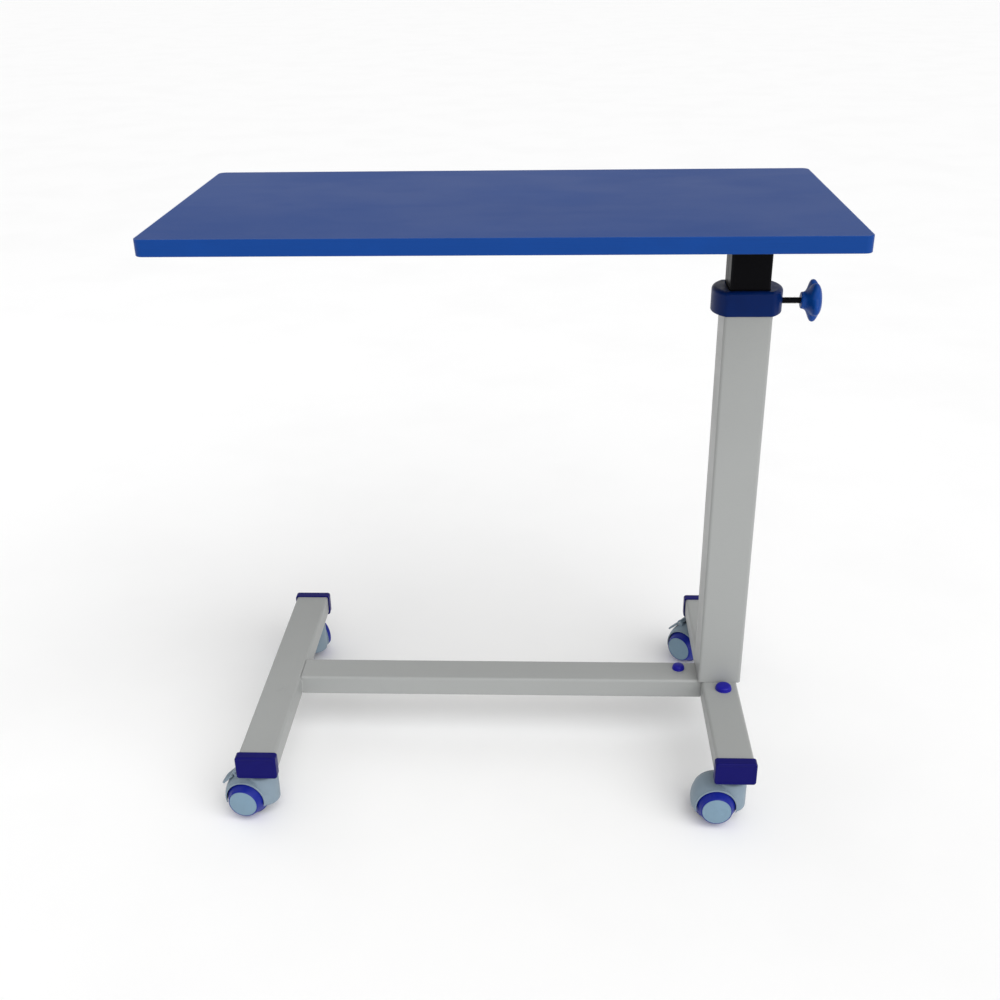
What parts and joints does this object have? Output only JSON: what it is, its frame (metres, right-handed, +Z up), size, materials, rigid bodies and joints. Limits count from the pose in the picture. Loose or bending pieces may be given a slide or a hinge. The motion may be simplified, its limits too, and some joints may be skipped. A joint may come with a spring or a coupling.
{
  "type": "overbed table",
  "caption": "Height-adjustable overbed table: blue laminate top on an offset telescopic column with a clamp knob, on an H-shaped steel base with twin-wheel castors.",
  "frame": {"origin": "on the floor at the middle of the whole footprint as it stands; the tabletop's middle line lies 9.4 mm in front of it", "axes": "+X along the tabletop towards the column, +Y from the front to the back, +Z up"},
  "size_m": [0.8, 0.4736, 0.78],
  "materials": {
    "paint": "satin grey powder coat",
    "black_paint": "satin black powder coat",
    "steel": "bare steel",
    "zinc": "zinc plated",
    "black_steel": "black oxide",
    "brass": "turned",
    "navy_plastic": "semi-gloss",
    "collar_plastic": "semi-gloss",
    "knob_plastic": "semi-gloss",
    "black_plastic": "matte",
    "board": "raw particle board",
    "laminate": "fine-textured laminate",
    "edge": "satin edge banding",
    "hood_plastic": "semi-gloss",
    "wheel_plastic": "semi-gloss",
    "hub_plastic": "semi-gloss"
  },
  "bodies": {
    "base": {"outer_column": "paint", "collar": "collar_plastic", "guide_bush": "black_plastic", "clamp_nut": "zinc", "column_foot": "steel", "leg_strap": "steel", "frame_bolts": "zinc", "leg_bolt_caps": "navy_plastic", "crossbar": "paint", "crossbar_tongue": "steel", "crossbar_bolt_cap": "navy_plastic", "left_leg": "paint", "right_leg": "paint", "front_left_end_cap": "navy_plastic", "front_right_end_cap": "navy_plastic", "back_left_end_cap": "navy_plastic", "back_right_end_cap": "navy_plastic", "castor_stems": "zinc", "castor_nuts": "zinc"},
    "top": {"tabletop_board": "board", "tabletop_laminate": "laminate", "edge_band": "edge", "top_beam": "black_paint", "beam_plugs": "black_plastic", "cross_strips": "black_paint", "top_screws": "zinc", "inner_post": "black_paint", "post_glide": "black_plastic"},
    "clamp_slider": {"clamp_shoe": "brass"},
    "knob": {"clamp_screw": "black_steel", "clamp_knob": "knob_plastic"},
    "front_left_castor": {"front_left_hood": "hood_plastic", "front_left_axle": "zinc", "front_left_pedal_pin": "zinc"},
    "front_left_wheel_a": {"front_left_wheel_a": "wheel_plastic", "front_left_hub_cap_a": "hub_plastic"},
    "front_left_wheel_b": {"front_left_wheel_b": "wheel_plastic", "front_left_hub_cap_b": "hub_plastic"},
    "front_left_pedal": {"front_left_pedal": "hood_plastic"},
    "front_right_castor": {"front_right_hood": "hood_plastic", "front_right_axle": "zinc"},
    "front_right_wheel_a": {"front_right_wheel_a": "wheel_plastic", "front_right_hub_cap_a": "hub_plastic"},
    "front_right_wheel_b": {"front_right_wheel_b": "wheel_plastic", "front_right_hub_cap_b": "hub_plastic"},
    "back_left_castor": {"back_left_hood": "hood_plastic", "back_left_axle": "zinc"},
    "back_left_wheel_a": {"back_left_wheel_a": "wheel_plastic", "back_left_hub_cap_a": "hub_plastic"},
    "back_left_wheel_b": {"back_left_wheel_b": "wheel_plastic", "back_left_hub_cap_b": "hub_plastic"},
    "back_right_castor": {"back_right_hood": "hood_plastic", "back_right_axle": "zinc", "back_right_pedal_pin": "zinc"},
    "back_right_wheel_a": {"back_right_wheel_a": "wheel_plastic", "back_right_hub_cap_a": "hub_plastic"},
    "back_right_wheel_b": {"back_right_wheel_b": "wheel_plastic", "back_right_hub_cap_b": "hub_plastic"},
    "back_right_pedal": {"back_right_pedal": "hood_plastic"}
  },
  "joints": [
    {"name": "column_lift", "type": "slide", "parent": "base", "child": "top", "axis": [0, 0, 1], "range_m": [-0.05, 0.25]},
    {"name": "clamp_slide", "type": "slide", "parent": "base", "child": "clamp_slider", "axis": [1, 0, 0], "range_m": [0, 0.0019]},
    {"name": "knob_turn", "type": "hinge", "parent": "clamp_slider", "child": "knob", "pos_m": [0.38, -0.0094, 0.655], "axis": [1, 0, 0], "range_deg": [0, 540]},
    {"name": "front_left_swivel", "type": "hinge", "parent": "base", "child": "front_left_castor", "pos_m": [-0.332, -0.2044, 0.05], "axis": [0, 0, 1], "continuous": true},
    {"name": "front_left_roll_a", "type": "hinge", "parent": "front_left_castor", "child": "front_left_wheel_a", "pos_m": [-0.3518, -0.20162, 0.029], "axis": [-0.1392, -0.9903, 0], "continuous": true},
    {"name": "front_left_roll_b", "type": "hinge", "parent": "front_left_castor", "child": "front_left_wheel_b", "pos_m": [-0.3518, -0.20162, 0.029], "axis": [-0.1392, -0.9903, 0], "continuous": true},
    {"name": "front_left_brake", "type": "hinge", "parent": "front_left_castor", "child": "front_left_pedal", "pos_m": [-0.36575, -0.19966, 0.06386], "axis": [0.1392, 0.9903, 0], "range_deg": [0, 35]},
    {"name": "front_right_swivel", "type": "hinge", "parent": "base", "child": "front_right_castor", "pos_m": [0.3, -0.2044, 0.05], "axis": [0, 0, 1], "continuous": true},
    {"name": "front_right_roll_a", "type": "hinge", "parent": "front_right_castor", "child": "front_right_wheel_a", "pos_m": [0.28001, -0.2037, 0.029], "axis": [-0.0349, -0.9994, 0], "continuous": true},
    {"name": "front_right_roll_b", "type": "hinge", "parent": "front_right_castor", "child": "front_right_wheel_b", "pos_m": [0.28001, -0.2037, 0.029], "axis": [-0.0349, -0.9994, 0], "continuous": true},
    {"name": "back_left_swivel", "type": "hinge", "parent": "base", "child": "back_left_castor", "pos_m": [-0.332, 0.1856, 0.05], "axis": [0, 0, 1], "continuous": true},
    {"name": "back_left_roll_a", "type": "hinge", "parent": "back_left_castor", "child": "back_left_wheel_a", "pos_m": [-0.34486, 0.20092, 0.029], "axis": [-0.766, -0.6428, 0], "continuous": true},
    {"name": "back_left_roll_b", "type": "hinge", "parent": "back_left_castor", "child": "back_left_wheel_b", "pos_m": [-0.34486, 0.20092, 0.029], "axis": [-0.766, -0.6428, 0], "continuous": true},
    {"name": "back_right_swivel", "type": "hinge", "parent": "base", "child": "back_right_castor", "pos_m": [0.3, 0.1856, 0.05], "axis": [0, 0, 1], "continuous": true},
    {"name": "back_right_roll_a", "type": "hinge", "parent": "back_right_castor", "child": "back_right_wheel_a", "pos_m": [0.28468, 0.19846, 0.029], "axis": [-0.6428, -0.766, 0], "continuous": true},
    {"name": "back_right_roll_b", "type": "hinge", "parent": "back_right_castor", "child": "back_right_wheel_b", "pos_m": [0.28468, 0.19846, 0.029], "axis": [-0.6428, -0.766, 0], "continuous": true},
    {"name": "back_right_brake", "type": "hinge", "parent": "back_right_castor", "child": "back_right_pedal", "pos_m": [0.27389, 0.20751, 0.06386], "axis": [0.6428, 0.766, 0], "range_deg": [0, 35]}
  ],
  "couplings": [
    {"joint": "clamp_slide", "follows": "knob_turn", "m_per_rad": 0.00019894}
  ]
}
